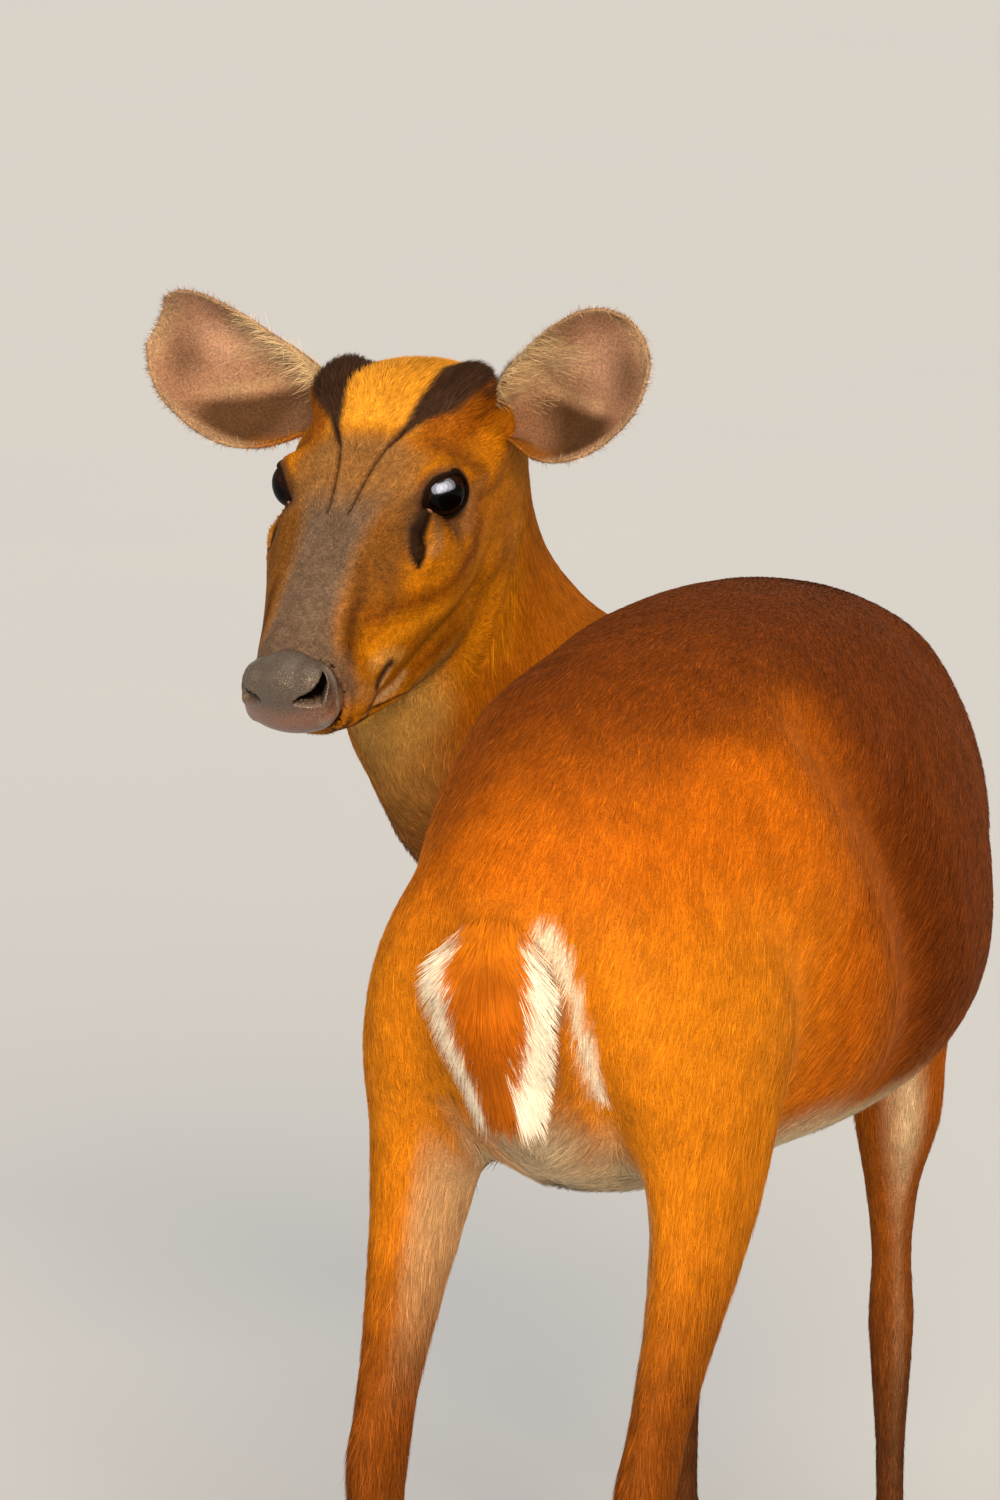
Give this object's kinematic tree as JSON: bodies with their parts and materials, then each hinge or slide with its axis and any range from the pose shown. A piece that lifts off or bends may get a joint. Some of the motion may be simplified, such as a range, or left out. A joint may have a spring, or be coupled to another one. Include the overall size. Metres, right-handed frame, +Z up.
{
  "type": "muntjac doe",
  "caption": "Life-size standing muntjac doe that looks back over its shoulder, with rounded ears, split hooves and a hanging, white-edged tail.",
  "frame": {"origin": "middle of the base of the bounding box, on the floor that the hooves stand on", "axes": "+Z up, +Y the way that the rump heads, +X to the animal's right at the rump"},
  "size_m": [0.5052, 0.6014, 0.6814],
  "materials": {
    "coat": "short flat fur, matte",
    "nose_skin": "moist pebbled skin",
    "horn": "smooth dark hoof horn",
    "eye": "wet gloss"
  },
  "bodies": {
    "root": {"dewclaw_fore_left_inner": "horn", "dewclaw_fore_left_outer": "horn", "dewclaw_fore_right_inner": "horn", "dewclaw_fore_right_outer": "horn", "dewclaw_hind_left_inner": "horn", "dewclaw_hind_left_outer": "horn", "dewclaw_hind_right_inner": "horn", "dewclaw_hind_right_outer": "horn", "ear_left": "coat", "ear_right": "coat", "eye_left": "eye", "eye_right": "eye", "fore_leg_left_lower": "coat", "fore_leg_left_upper": "coat", "fore_leg_right_lower": "coat", "fore_leg_right_upper": "coat", "head": "coat", "hind_leg_left_lower": "coat", "hind_leg_left_upper": "coat", "hind_leg_right_lower": "coat", "hind_leg_right_upper": "coat", "hoof_fore_left_inner": "horn", "hoof_fore_left_outer": "horn", "hoof_fore_right_inner": "horn", "hoof_fore_right_outer": "horn", "hoof_hind_left_inner": "horn", "hoof_hind_left_outer": "horn", "hoof_hind_right_inner": "horn", "hoof_hind_right_outer": "horn", "neck": "coat", "nose_pad": "nose_skin", "tail": "coat", "torso": "coat"}
  },
  "joints": []
}
